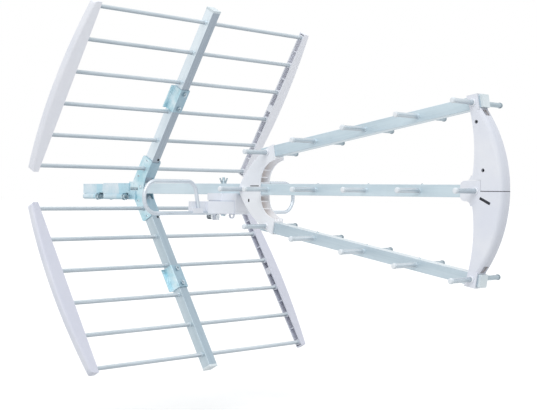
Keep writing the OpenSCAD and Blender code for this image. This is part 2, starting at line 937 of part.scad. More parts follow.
// Whole nose before it is split into its two halves
module nose_body() {
    rib_t = 1.6;
    difference() {
        nose_outer();
        difference() {
            nose_hollow();
            for (side = [-1, 1], z = nose_rib_at)
                translate([nose_hollow_x, -bow_half_t, side * z - rib_t / 2])
                    cube([nose_front_x - nose_hollow_x, bow_t, rib_t]);
            for (p = nose_boss_at, side = [-1, 1])
                translate([p[0], 0, side * p[1]])
                    cross_rod(nose_boss_r, bow_t);
        }
        for (p = nose_boss_at)
            translate([p[0], -bow_half_t, p[1]])
                cross_rod(nose_screw_r, 2 * 9);
        translate([hub_back_x - eps, -pass_half, -pass_half])
            cube([center_end_x + tube_fit - hub_back_x + eps, 2 * pass_half, 2 * pass_half]);
        for (k = [-1, 1])
            on_boom(k) {
                translate([last * director_pitch - nose_depth, -pass_half, -pass_half])
                    cube([2 * nose_depth, 2 * pass_half, 2 * pass_half]);
                translate([last * director_pitch, 0, 0])
                    cross_rod(director_d / 2 + rod_fit, bow_t + 2 * eps);
                mirror([0, 0, k < 0 ? 1 : 0])
                    translate([nose_end_s, -pass_half + 1.4, -pass_half - nose_slot_h])
                        cube([nose_depth, 2 * pass_half - 2.8, nose_slot_h + 1]);
            }
        translate([last_director_x, 0, 0])
            cross_rod(director_d / 2 + rod_fit, bow_t + 2 * eps);
        translate([last_director_x + 19, -bow_half_t, -15.6])
            rotate([0, 26, 0])
                cube([15, 5, 3.4], center = true);
    }
}

// Space that belongs to the upper half of the nose, grown downwards by gap
module upper_half_space(gap) {
    translate([nose_split_x - gap, -bow_t, -gap])
        cube([reach, 2 * bow_t, reach]);
    translate([nose_back_x, -bow_t, hub_half_h + 1 - gap])
        cube([reach, 2 * bow_t, reach]);
}

module nose_upper() {
    color("#e2e5f0")
        intersection() {
            nose_body();
            upper_half_space(0);
        }
}

module nose_lower() {
    color("#e2e5f0")
        difference() {
            nose_body();
            upper_half_space(nose_split_gap);
        }
}

// Arc of dipole rod in the plane of Y and Z, from one angle to another
module rod_arc(r, from_a, to_a) {
    rotate([90, 0, 90])
        rotate(from_a)
            rotate_extrude(angle = to_a - from_a, $fn = 96)
                translate([r, 0])
                    circle(r = dipole_r, $fn = 32);
}

// Cylinder that leans as a loop's inner leg does, from one distance up the leg to another
module leaning_leg(r, from_l, to_l) {
    rotate([-leg_lean, 0, 0])
        translate([0, 0, from_l])
            cylinder(r = r, h = to_l - from_l, $fn = 32);
}

// Bent rod on the +Y side of the dipole
module dipole_loop() {
    lap = 0.01;
    lap_angle = 0.05;
    translate([dipole_x, loop_end_y, loop_mid_z])
        rod_arc(loop_end_r, -90, 90);
    translate([dipole_x, loop_leg_y + loop_corner_r, loop_top_z - loop_corner_r])
        rod_arc(loop_corner_r, 90, 180 - leg_lean + lap_angle);
    translate([dipole_x, loop_end_y + lap, loop_top_z])
        rotate([90, 0, 0])
            cylinder(r = dipole_r, h = loop_end_y - loop_leg_y - loop_corner_r + 2 * lap, $fn = 32);
    translate([dipole_x, loop_end_y + lap, loop_low_z])
        rotate([90, 0, 0])
            cylinder(r = dipole_r, h = loop_end_y - rod_root_y + lap, $fn = 32);
    translate([dipole_x, leg_foot_y, leg_low_z])
        leaning_leg(dipole_r, 0, leg_l);
}

module dipole_side(hand) {
    color("#d2d6e2")
        mirror([0, hand < 0 ? 1 : 0, 0])
            dipole_loop();
}

// Block with rounded upright edges between two corners
module box_block(low, high, r) {
    size = high - low;
    translate([(low[0] + high[0]) / 2, (low[1] + high[1]) / 2, low[2]])
        linear_extrude(height = size[2])
            rounded_square(size[0], size[1], r);
}

// Arm behind one end of a dipole loop on the +Y side, with the clip at its end and the flare at the box
module dipole_arm() {
    root = box_half_w - 3;
    translate([arm_back_x, root, loop_low_z])
        cube([arm_t, arm_reach - root, arm_top_z - loop_low_z]);
    translate([arm_back_x, clip_in_y, loop_low_z])
        cube([dipole_x + dipole_r + clip_wall - arm_back_x, arm_reach - clip_in_y, clip_top_z - loop_low_z]);
    translate([0, 0, box_low_z + 0.1])
        linear_extrude(height = arm_top_z - box_low_z - 0.1)
            polygon([[arm_back_x, root], [arm_back_x, flare_reach - 1.5], [arm_back_x + 1.5, flare_reach],
                [dipole_x + dipole_r, flare_reach], [dipole_x + dipole_r + 1.4, flare_reach - 0.9],
                [box_to_x - 3, root + 3], [box_to_x - 3, root]]);
}

module dipole_box() {
    color("#e6e9f2")
        difference() {
            union() {
                box_block([box_from_x, -box_half_w, lid_top_z + 0.15], [box_to_x, box_half_w, box_top_z], 3);
                box_block([box_from_x, -box_half_w + 2, block_low_z], [box_to_x, box_half_w - 2, saddle_z], 2);
                box_block([box_from_x - 1, -box_half_w - block_out, block_low_z],
                    [box_from_x + block_l, box_half_w + block_out, saddle_z], 2);
                for (side = [0, 1])
                    mirror([0, side, 0])
                        dipole_arm();
                translate([box_from_x, -tab_w / 2, connector_z - tab_w / 2])
                    cube([tab_t, tab_w, lid_top_z + 8 - connector_z]);
            }
            translate([box_from_x - 2 * eps, -saddle_in, -boom_half - tube_fit])
                cube([box_to_x - box_from_x + 4 * eps, 2 * saddle_in, boom_w]);
            box_block([box_from_x + tab_t + 1, -box_half_w + box_wall, lid_top_z - 8],
                [box_to_x - box_wall, box_half_w - box_wall, box_top_z - box_wall - 5], 2);
            translate([box_from_x + tab_t + 0.1, -box_half_w - 0.15, lid_top_z + 0.15 - box_w])
                cube([box_to_x - box_from_x, box_w + 0.3, box_w]);
            translate([dipole_x, 0, 0])
                cylinder(r = screw_d / 2 + tube_fit, h = reach, center = true);
            for (side = [0, 1])
                mirror([0, side, 0]) {
                    translate([dipole_x, (arm_reach + rod_root_y + eps) / 2, loop_low_z])
                        cross_rod(dipole_r + rod_fit, arm_reach - rod_root_y + eps + 2 * rod_fit);
                    translate([dipole_x, leg_foot_y, leg_low_z])
                        leaning_leg(dipole_r + rod_fit, -rod_fit, leg_l);
                }
            translate([box_from_x + tab_t / 2, 0, connector_z])
                rotate([0, 90, 0])
                    cylinder(r = connector_d / 2 + rod_fit, h = tab_t + 2 * eps, center = true);
        }
}

// Lid under the box, with a pad for the bolt head and a small latch loop
module box_lid() {
    edge = 0.2;
    from_x = box_from_x + tab_t + 0.3;
    color("#dde1ec")
        difference() {
            union() {
                box_block([from_x, -box_half_w, box_low_z], [box_to_x, box_half_w, lid_top_z], 3);
                box_block([from_x + 1.2, -box_half_w + box_wall + edge, box_low_z + 1],
                    [box_to_x - box_wall - edge, box_half_w - box_wall - edge, lid_top_z + 2.4], 2);
                translate([dipole_x, 0, box_low_z - 2])
                    cylinder(r = 6.5, h = 3);
                translate([dipole_x, 0, lid_top_z])
                    cylinder(r = screw_d / 2 + 3, h = 6);
                translate([box_to_x - 11, -box_half_w + 3, box_low_z - 3])
                    rotate([90, 0, 0])
                        rotate_extrude($fn = 48)
                            translate([4.9, 0])
                                square([1.6, 4], center = true);
            }
            translate([dipole_x, 0, 0])
                cylinder(r = screw_d / 2 + tube_fit, h = reach, center = true);
        }
}

// Circuit board that matches the dipole to the cable, lying on the lid
module balun_board() {
    z = lid_top_z + 2.4 + 0.02;
    color("#5d7a5a")
        difference() {
            box_block([box_from_x + tab_t + 4, -box_half_w + 5, z], [box_to_x - 5, box_half_w - 5, z + 1.6], 1);
            translate([dipole_x, 0, 0])
                cylinder(r = screw_d / 2 + 3.4, h = reach, center = true);
        }
}

// Threaded socket for the cable, pointing back towards the mast
module cable_connector() {
    r = connector_d / 2;
    collar_l = 4.9;
    color("#c3c7cc")
        translate([box_from_x, 0, connector_z])
            rotate([0, -90, 0])
                difference() {
                    union() {
                        translate([0, 0, -tab_t - 1])
                            cylinder(r = r, h = tab_t + 1 + collar_l + connector_l);
                        translate([0, 0, 0.02])
                            cylinder(r = r + 1.2, h = collar_l, $fn = 6);
                        translate([0, 0, -tab_t - 1.8])
                            cylinder(r = r + 0.5, h = 1.78);
                    }
                    translate([0, 0, collar_l + connector_l - 8])
                        cylinder(r = 0.7, h = 8 + eps);
                    translate([0, 0, collar_l + connector_l - 6])
                        difference() {
                            cylinder(r = r - 1, h = 6 + eps);
                            translate([0, 0, -eps])
                                cylinder(r = 2.6, h = eps + 6);
                        }
                }
}

module dipole_bolt() {
    head_z = box_low_z - 2;
    color("#c9d2d8") {
        translate([dipole_x, 0, head_z - 3])
            cylinder(r = screw_d * 0.9, h = 2.98, $fn = 6);
        translate([dipole_x, 0, head_z - 1])
            cylinder(r = screw_d / 2, h = boom_half + 11.5 - head_z + 1);
    }
}

// Wing nut on top of the boom
module wing_nut() {
    wing_t = 2;
    color("#b9c6cd")
        translate([dipole_x, 0, boom_half + 0.02])
            difference() {
                union() {
                    cylinder(r1 = screw_d + 0.4, r2 = screw_d - 0.6, h = 5);
                    rotate(35)
                        for (side = [0, 1])
                            mirror([side, 0, 0])
                                translate([0, wing_t / 2, 0])
                                    rotate([90, 0, 0])
                                        linear_extrude(height = wing_t)
                                            polygon([[2.8, 0.6], [4.5, 0.3], [7.7, 8.6], [7.3, 10.2],
                                                [5.4, 10.2], [2.8, 4.4]]);
                }
                translate([0, 0, -eps])
                    cylinder(r = screw_d / 2 + rod_fit, h = 20);
            }
}

// Plan of a clamp cheek on the +Y side that steps in from the mast's width to the boom's
module bracket_plan(to_x) {
    polygon([[bracket_back_x, bracket_in], [joggle_from_x, bracket_in], [joggle_to_x, neck_in], [to_x, neck_in],
        [to_x, neck_out], [joggle_to_x + 0.6, neck_out], [joggle_from_x + 0.6, bracket_out],
        [bracket_back_x, bracket_out]]);
}

// Rolled edge along X that carries a clamp bolt on the +Y side
module rolled_edge(from_x, to_x, cheek_in) {
    translate([from_x, 0, 0])
        rotate([90, 0, 90])
            linear_extrude(height = to_x - from_x)
                difference() {
                    translate([bolt_y, clamp_bolt_z])
                        circle(roll_r);
                    translate([-reach + cheek_in, -reach])
                        square([reach, 2 * reach]);
                }
}

module mast_hole() {
    cylinder(r = seat_r, h = reach, center = true, $fn = 96);
}

module bolt_holes(from_x, to_x) {
    for (side = [-1, 1])
        translate([from_x, side * bolt_y, clamp_bolt_z])
            rotate([0, 90, 0])
                cylinder(r = bolt_hole_r, h = to_x - from_x);
}

// Notched webs between the cheeks, one at the top and one at the bottom
module seat_webs(from_x, to_x, half_w, top_z) {
    for (z = [top_z - clamp_t, clamp_low_z])
        translate([from_x, -half_w, z])
            cube([to_x - from_x, 2 * half_w, clamp_t]);
}

// Room for the nuts or bolt heads beside the cheeks, from one place along the bolts to another
module nut_room(from_x, to_x, r) {
    for (side = [0, 1])
        mirror([0, side, 0])
            translate([from_x, bolt_y - r, clamp_bolt_z - reach])
                cube([to_x - from_x, reach, reach + r]);
}

module mast_bracket() {
    web_from_x = 5;
    web_to_x = center_start_x - 0.4;
    foot_top_z = -5;
    color("#c2d6de")
        difference() {
            union() {
                for (side = [0, 1])
                    mirror([0, side, 0]) {
                        translate([0, 0, clamp_low_z])
                            linear_extrude(height = cheek_top_z - clamp_low_z)
                                bracket_plan(bracket_reach);
                        translate([0, 0, clamp_low_z])
                            linear_extrude(height = foot_top_z - clamp_low_z)
                                bracket_plan(bracket_foot_reach);
                        rolled_edge(bracket_roll_from_x, bracket_roll_to_x, bracket_in);
                        rolled_edge((joggle_from_x + joggle_to_x) / 2, bracket_roll_to_x, neck_in);
                    }
                seat_webs(web_from_x, web_to_x, bracket_in + 0.5, cheek_top_z);
                translate([joggle_to_x, -neck_in - 0.5, -boom_half - tube_fit - clamp_t])
                    cube([bracket_web_to_x - joggle_to_x, 2 * neck_in + 1, clamp_t]);
            }
            mast_hole();
            bolt_holes(bracket_back_x - eps, bracket_roll_to_x + eps);
            nut_room(bracket_roll_to_x, bracket_roll_to_x + nut_room_l, nut_room_r);
        }
}

module mast_jaw() {
    tongue_half_w = bolt_y - nut_room_r;
    color("#ccdbe2")
        difference() {
            union() {
                for (side = [-1, 1])
                    translate([-jaw_reach, side > 0 ? jaw_in : -jaw_out, clamp_low_z])
                        cube([jaw_reach + jaw_roll_to_x, clamp_t, jaw_top_z - clamp_low_z]);
                for (side = [-1, 1])
                    translate([-jaw_reach, side > 0 ? jaw_in : -jaw_out, clamp_bolt_z + nut_room_r])
                        cube([jaw_reach + jaw_tip_x, clamp_t, jaw_top_z - clamp_bolt_z - nut_room_r]);
                for (side = [0, 1])
                    mirror([0, side, 0])
                        rolled_edge(jaw_roll_from_x, jaw_roll_to_x, jaw_in);
                seat_webs(-jaw_reach, jaw_roll_to_x, jaw_in + 0.5, jaw_top_z);
                seat_webs(jaw_roll_to_x - 1, -5, tongue_half_w, jaw_top_z);
                seat_webs(jaw_roll_to_x + nut_room_l, -5, jaw_in + 0.5, jaw_top_z);
                translate([-jaw_reach, -jaw_in - 0.5, clamp_low_z])
                    cube([clamp_t, 2 * jaw_in + 1, jaw_top_z - clamp_low_z]);
            }
            mast_hole();
            bolt_holes(-jaw_reach - eps, jaw_roll_to_x + eps);
            nut_room(-jaw_reach - eps, jaw_roll_from_x, roll_r + 0.4);
        }
}

// Long bolts that pull the jaw to the bracket, each with a retaining nut and a clamping nut
module clamp_bolts() {
    head_h = 3.4;
    nut_h = 5.4;
    tip_x = bracket_roll_to_x + 16;
    color("#a9b4ba")
        for (side = [-1, 1])
            translate([0, side * bolt_y, clamp_bolt_z])
                rotate([0, 90, 0]) {
                    translate([0, 0, jaw_roll_from_x - head_h - 0.02])
                        intersection() {
                            cylinder(r = roll_r, h = head_h);
                            translate([0, 0, roll_r + 0.8])
                                sphere(r = roll_r + 0.8);
                        }
                    translate([0, 0, jaw_roll_from_x - 1])
                        cylinder(r = clamp_bolt_d / 2, h = tip_x - jaw_roll_from_x + 1);
                    for (x = [jaw_roll_to_x, bracket_roll_to_x]) {
                        translate([0, 0, x + 0.02])
                            cylinder(r = clamp_flange_r, h = 1.6);
                        translate([0, 0, x + 1.6])
                            cylinder(r = clamp_nut_r, h = nut_h, $fn = 6);
                    }
                }
}

center_boom();
outer_boom(1);  // upper_boom
outer_boom(-1);  // lower_boom
for (i = [0 : director_count])
    director(0, i);
for (i = [1 : director_count])
    director(1, i);
for (i = [1 : director_count])
    director(-1, i);
director_caps();
for (i = [1 : rod_count])
    reflector_rod(1, i);
for (i = [1 : rod_count])
    reflector_rod(-1, i);
spar_inner(1);  // upper_spar_inner
spar_outer(1);  // upper_spar_outer
spar_inner(-1);  // lower_spar_inner
spar_outer(-1);  // lower_spar_outer
splices();
splice_screws();
side_cap(1, -1);  // cap_upper_near
side_cap(1, 1);  // cap_upper_far
side_cap(-1, -1);  // cap_lower_near
side_cap(-1, 1);  // cap_lower_far
end_plugs();
rivets();
hinge_bracket();
rear_bow();
nose_upper();
nose_lower();
dipole_side(-1);  // dipole_loop_near
dipole_side(1);  // dipole_loop_far
dipole_box();
box_lid();
balun_board();
cable_connector();
dipole_bolt();
wing_nut();
mast_bracket();
mast_jaw();
clamp_bolts();
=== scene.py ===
import bpy
import bmesh
import math
from mathutils import Matrix, Vector


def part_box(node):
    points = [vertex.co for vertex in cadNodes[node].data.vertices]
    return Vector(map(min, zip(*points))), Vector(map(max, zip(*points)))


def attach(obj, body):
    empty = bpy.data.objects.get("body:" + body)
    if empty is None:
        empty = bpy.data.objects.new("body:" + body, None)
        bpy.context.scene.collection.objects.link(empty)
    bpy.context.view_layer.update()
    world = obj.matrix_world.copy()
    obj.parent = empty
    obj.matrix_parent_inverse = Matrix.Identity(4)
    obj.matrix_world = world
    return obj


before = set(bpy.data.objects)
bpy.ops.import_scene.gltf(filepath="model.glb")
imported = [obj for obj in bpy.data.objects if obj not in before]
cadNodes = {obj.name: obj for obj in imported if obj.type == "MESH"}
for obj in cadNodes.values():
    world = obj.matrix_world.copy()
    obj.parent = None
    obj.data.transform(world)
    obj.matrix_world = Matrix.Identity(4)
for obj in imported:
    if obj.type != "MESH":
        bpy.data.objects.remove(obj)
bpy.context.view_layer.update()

print("frame loaded:", len(cadNodes), "nodes")


# a wire is one output socket of a node graph, and adds its own maths nodes

class Wire:
    def __init__(self, graph, socket):
        self.graph = graph
        self.socket = socket

    def twin(self, name):
        # another output of the same node
        return Wire(self.graph, self.socket.node.outputs[name])

    def work(self, operation, first, second):
        return self.graph.node("ShaderNodeMath", {"operation": operation}, {0: first, 1: second})

    def __add__(self, other):
        return self.work("ADD", self, other)

    def __radd__(self, other):
        return self.work("ADD", other, self)

    def __sub__(self, other):
        return self.work("SUBTRACT", self, other)

    def __rsub__(self, other):
        return self.work("SUBTRACT", other, self)

    def __mul__(self, other):
        return self.work("MULTIPLY", self, other)

    def __rmul__(self, other):
        return self.work("MULTIPLY", other, self)

    def __lt__(self, other):
        return self.work("LESS_THAN", self, other)

    def __gt__(self, other):
        return self.work("GREATER_THAN", self, other)


class Graph:
    def __init__(self, owner):
        owner.use_nodes = True
        self.owner = owner
        self.tree = owner.node_tree
        self.tree.nodes.clear()
        self.here = None

    def node(self, kind, settings=None, inputs=None, out=0):
        made = self.tree.nodes.new(kind)
        for key, value in (settings or {}).items():
            setattr(made, key, value)
        for key, value in (inputs or {}).items():
            socket = made.inputs[key]
            if isinstance(value, Wire):
                self.tree.links.new(value.socket, socket)
            elif socket.type == "RGBA":
                socket.default_value = (*value, 1)
            else:
                socket.default_value = value
        return Wire(self, made.outputs[out]) if len(made.outputs) else None

    def where(self):
        # CAD nodes and pieces sit at the origin, so object coordinates are metres in the antenna's own frame
        self.here = self.here or self.node("ShaderNodeTexCoord", out="Object")
        return self.here

    def vectorWork(self, operation, *values):
        # vector maths that gives one number
        return self.node("ShaderNodeVectorMath", {"operation": operation}, dict(enumerate(values)), "Value")

    def along(self, axis):
        return self.vectorWork("DOT_PRODUCT", self.where(), tuple(axis))

    def facing(self, axis):
        normal = self.node("ShaderNodeNewGeometry", out="Normal")
        return self.vectorWork("DOT_PRODUCT", normal, tuple(axis))

    def size(self, value):
        return self.node("ShaderNodeMath", {"operation": "ABSOLUTE"}, {0: value})

    def noise(self, scale, detail, roughness=0.55, at=None):
        # the settings below give a noise by its scale and detail, and some by its roughness too
        inputs = {"Vector": at or self.where(), "Scale": scale, "Detail": detail, "Roughness": roughness}
        return self.node("ShaderNodeTexNoise", {}, inputs, "Fac")

    def grainAlong(self, axis, fine, slow):
        # noise drawn out along one direction, as drawing and extruding leave it
        axis = Vector(axis).normalized()
        across = axis.orthogonal().normalized()
        lengths = [self.along(axis) * slow, self.along(across) * fine, self.along(axis.cross(across)) * fine]
        stretched = self.node("ShaderNodeCombineXYZ", {}, dict(enumerate(lengths)))
        return self.noise(1.0, 2.0, 0.6, stretched)

    def spread(self, value, low, high):
        # brings the range between two levels to 0..1
        return self.node("ShaderNodeMapRange", {"clamp": True}, {0: value, 1: low, 2: high, 3: 0.0, 4: 1.0})

    def blend(self, factor, first, second):
        settings = {"data_type": "RGBA", "clamp_factor": True}
        return self.node("ShaderNodeMix", settings, {0: factor, 6: first, 7: second}, 2)

    def bump(self, height, strength, distance):
        inputs = {"Strength": strength, "Distance": distance, "Height": height}
        return self.node("ShaderNodeBump", {}, inputs, "Normal")

    def surface(self, sockets):
        shader = self.node("ShaderNodeBsdfPrincipled", {}, sockets, "BSDF")
        self.node("ShaderNodeOutputMaterial", {}, {"Surface": shader})
        return self.owner


def newFinish(name):
    return Graph(bpy.data.materials.new(name))


def shade(red, green, blue):
    # screen colour 0..255 to the linear value that a shader takes
    return tuple(((c / 255 + 0.055) / 1.055) ** 2.4 for c in (red, green, blue))


# directions of the antenna: its nose forward, its two panels and outer booms mirrored up and down
forward = (1, 0, 0)
sideways = (0, 1, 0)
upward = (0, 0, 1)
downward = (0, 0, -1)
flips = {"upper": 1, "lower": -1}
hands = {"near": -1, "far": 1}
panelAngle = math.radians(60.35)
fanAngle = math.radians(9.85)
alongBoom = {"center": forward}
alongPanel = {}
panelFront = {}
for side, flip in flips.items():
    alongBoom[side] = (math.cos(fanAngle), 0, flip * math.sin(fanAngle))
    alongPanel[side] = Vector((math.cos(panelAngle), 0, flip * math.sin(panelAngle)))
    panelFront[side] = Vector((math.sin(panelAngle), 0, -flip * math.cos(panelAngle)))

# drawn metal: light and dark are its two tones; front is painted shade on faces that look along the antenna,
# over painted light on faces that look up and under painted shade on faces that look down, bead a painted
# highlight on the ring by the boom, far painted shade on the ends behind it
boomLook = {"light": shade(209, 225, 233), "dark": shade(191, 209, 218), "rough": 0.34, "metal": 0.4,
            "over": shade(238, 245, 249), "under": shade(184, 198, 206)}
# the upper and lower booms take shaded copies of the centre boom's tones: painted shade
boomLooks = {"center": boomLook,
             "upper": dict(boomLook, light=shade(204, 221, 230), dark=shade(186, 204, 214)),
             "lower": dict(boomLook, light=shade(197, 212, 221), dark=shade(178, 195, 205))}
# the upper spar's tones are a lit copy and the lower spar's a shaded copy of one metal: painted light and
# painted shade
sparLooks = {"upper": {"light": shade(231, 241, 247), "dark": shade(216, 228, 236),
                       "rough": 0.36, "metal": 0.6, "front": shade(148, 160, 172)},
             "lower": {"light": shade(191, 205, 213), "dark": shade(175, 191, 200),
                       "rough": 0.36, "metal": 0.6, "front": shade(146, 164, 176)}}
directorLook = {"light": shade(202, 211, 218), "dark": shade(178, 190, 199), "rough": 0.3, "metal": 0.4,
                "under": shade(156, 170, 180), "bead": shade(222, 233, 239), "beadHighlightTo": 0.0126,
                "far": shade(146, 166, 176), "farShadeFrom": 0.0135}
rodLook = {"light": shade(191, 201, 209), "dark": shade(171, 183, 192), "rough": 0.33, "metal": 0.35,
           "over": shade(230, 238, 242), "under": shade(128, 140, 150),
           "bead": shade(222, 233, 239), "beadHighlightTo": 0.0126}
dipoleLook = {"light": shade(210, 217, 225), "dark": shade(189, 199, 209), "rough": 0.3, "metal": 0.55}
drawnGrain = {"lines": (900.0, 12.0), "streaks": (90.0, 4.0), "patches": (9.0, 4.0), "specks": (700.0, 2.0),
              "patchShare": 0.6, "toneRange": (0.38, 0.62), "frontRange": (0.6, 0.9),
              "paintedTurnedRange": (0.3, 0.95), "turned": 0.7, "marked": 0.7,
              "lineTone": shade(232, 240, 245), "lineRange": (0.3, 0.75), "line": 0.22,
              "speckTone": shade(140, 152, 162), "speckRange": (0.66, 0.78), "speck": 0.3,
              "lineRough": 0.22, "patchRough": 0.12, "bump": 0.12, "height": 0.0004}


def drawnMetal(name, axis, look, front=None):
    f = newFinish(name)
    grain = drawnGrain
    lines = f.grainAlong(axis, *grain["lines"])
    streaks = f.grainAlong(axis, *grain["streaks"])
    patches = f.noise(*grain["patches"])
    specks = f.noise(*grain["specks"])
    across = f.along(sideways)
    tones = patches * grain["patchShare"] + streaks * (1 - grain["patchShare"])
    colour = f.blend(f.spread(tones, *grain["toneRange"]), look["dark"], look["light"])
    # painted shade on faces that look along the antenna
    if front:
        colour = f.blend(f.spread(f.facing(front), *grain["frontRange"]), colour, look["front"])
    # painted light on faces that look up, painted shade on faces that look down
    for turned, way in (("over", upward), ("under", downward)):
        if turned in look:
            mask = f.spread(f.facing(way), *grain["paintedTurnedRange"]) * grain["turned"]
            colour = f.blend(mask, colour, look[turned])
    # painted shade on the far ends of the tubes
    if "far" in look:
        colour = f.blend((across > look["farShadeFrom"]) * grain["marked"], colour, look["far"])
    # painted highlight on the ring by the boom
    if "bead" in look:
        colour = f.blend((f.size(across) < look["beadHighlightTo"]) * grain["marked"], colour, look["bead"])
    colour = f.blend(f.spread(lines, *grain["lineRange"]) * grain["line"], colour, grain["lineTone"])
    colour = f.blend(f.spread(specks, *grain["speckRange"]) * grain["speck"], colour, grain["speckTone"])
    rough = look["rough"] + (lines - 0.5) * grain["lineRough"] + (patches - 0.5) * grain["patchRough"]
    return f.surface({"Base Color": colour, "Metallic": look["metal"], "Roughness": rough,
                      "Normal": f.bump(lines, grain["bump"], grain["height"])})


# zinc plated sheet: front is painted shade on the webs before the spars, bands lie across the clamp, and the
# clamp's undersides take painted shade
sheetLook = {"pale": shade(225, 241, 247), "blue": shade(176, 217, 229), "deep": shade(116, 156, 172),
             "front": shade(152, 177, 191), "frontFrom": 0.078}
clampLook = {"pale": shade(220, 231, 238), "blue": shade(198, 220, 230), "deep": shade(128, 158, 172),
             "band": shade(176, 214, 228), "bands": ((-0.030, -0.012), (0.036, 0.2))}
zincGrain = {"clouds": (42.0, 5.0, 0.6), "pools": (130.0, 3.0), "spangle": 420.0, "cloudRange": (0.36, 0.66),
             "frontRange": (0.6, 0.9), "front": 0.9, "bandWander": 0.008, "band": 0.75,
             "underRange": (0.1, 0.9), "under": 0.7, "poolRange": (0.58, 0.74), "pool": 0.26,
             "rough": 0.32, "poolRoughRange": (0.3, 0.7), "poolRough": 0.18, "spangleRough": 0.1,
             "metal": 0.55, "poolShare": 0.7, "bump": 0.22, "height": 0.0006}


def zincSheet(name, look, fronts=()):
    # pale blue passivation that clouds and pools, with a fine spangle
    f = newFinish(name)
    grain = zincGrain
    clouds = f.noise(*grain["clouds"])
    pools = f.noise(*grain["pools"])
    cells = {"Vector": f.where(), "Scale": grain["spangle"]}
    spangle = f.node("ShaderNodeTexVoronoi", {"feature": "F1"}, cells, "Distance")
    colour = f.blend(f.spread(clouds, *grain["cloudRange"]), look["blue"], look["pale"])
    for front in fronts:
        # painted shade, only on the webs in front of the spars, not the lips behind them
        web = f.spread(f.facing(front), *grain["frontRange"]) * (f.along(front) > look["frontFrom"])
        colour = f.blend(web * grain["front"], colour, look["front"])
    for low, high in look.get("bands", ()):
        place = f.along(forward) + (clouds - 0.5) * grain["bandWander"]
        colour = f.blend((place > low) * (place < high) * grain["band"], colour, look["band"])
    # painted shade on the clamp's faces that look down
    if "bands" in look:
        under = f.spread(f.facing(downward), *grain["underRange"]) * grain["under"]
        colour = f.blend(under, colour, look["deep"])
    colour = f.blend(f.spread(pools, *grain["poolRange"]) * grain["pool"], colour, look["deep"])
    pooled = f.spread(pools, *grain["poolRoughRange"])
    rough = grain["rough"] + pooled * grain["poolRough"] + spangle * grain["spangleRough"]
    height = pools * grain["poolShare"] + spangle * (1 - grain["poolShare"])
    return f.surface({"Base Color": colour, "Metallic": grain["metal"], "Roughness": rough,
                      "Normal": f.bump(height, grain["bump"], grain["height"])})


# white mouldings: patch is a second tone where a mask says, laid on by amount,
# through a painted glow in the patch's tone, and front a painted tone on faces that look forward: painted
# shade, and on the upper caps painted light
plasticLook = {"grain": (1600.0, 2.0, 0.7), "bump": 0.12, "mottle": 0.0, "amount": 0.0, "through": 0.0}
# bow: patch is painted shade deep in its pockets, with a faint painted glow
bowLook = dict(plasticLook, base=shade(242, 245, 250), cool=shade(234, 238, 246), warm=shade(246, 247, 250),
               patch=shade(230, 225, 223), amount=0.9, through=0.1)
# nose: patch is painted shade in its pocket, front painted shade on faces that look forward
noseLook = dict(plasticLook, base=shade(234, 237, 245), cool=shade(226, 229, 240), warm=shade(240, 241, 246),
                patch=shade(196, 186, 180), amount=0.8, front=shade(200, 204, 214))
# caps: the upper caps are a lit copy and the lower a shaded copy; patch and glow are painted light inside
# them, front painted light on the upper caps and painted shade on the lower
capLooks = {"upper": dict(plasticLook, base=shade(235, 237, 244), cool=shade(228, 231, 240),
                          warm=shade(240, 241, 246), patch=shade(236, 232, 230), amount=0.6, through=0.34,
                          front=shade(247, 248, 255)),
            "lower": dict(plasticLook, base=shade(221, 224, 234), cool=shade(214, 217, 229),
                          warm=shade(227, 228, 235), patch=shade(226, 222, 221), amount=0.6, through=0.28,
                          front=shade(202, 204, 217))}
# box: patch is pale on the arms and saddle and painted light on the front face
boxLook = dict(plasticLook, base=shade(216, 221, 232), cool=shade(204, 212, 224), warm=shade(226, 228, 237),
               patch=shade(238, 241, 247), amount=0.7, grain=(1100.0, 2.0, 0.7), bump=0.3, mottle=0.3)
# tips: patch is painted shade on the far caps, front painted shade on faces that look forward
tipLook = dict(plasticLook, base=shade(234, 240, 245), cool=shade(226, 234, 241), warm=shade(240, 242, 245),
               patch=shade(148, 164, 173), amount=0.85, front=shade(200, 210, 217))
plugLook = dict(plasticLook, base=shade(220, 230, 234), cool=shade(204, 217, 224), warm=shade(228, 234, 237))
plasticGrain = {"flow": (14.0, 3.0), "specks": (340.0, 2.0), "flowRange": (0.36, 0.64), "base": 0.45,
                "speckRange": (0.6, 0.8), "speck": 0.2, "mottles": (520.0, 3.0, 0.7),
                "mottleRange": (0.45, 0.62), "mottleTone": shade(196, 204, 210),
                "frontRange": (0.1, 0.8), "front": 0.75, "throughRange": (0.0, 0.3),
                "rough": 0.46, "fineRough": 0.25, "flowRough": 0.08, "height": 0.0003, "specular": 0.45}


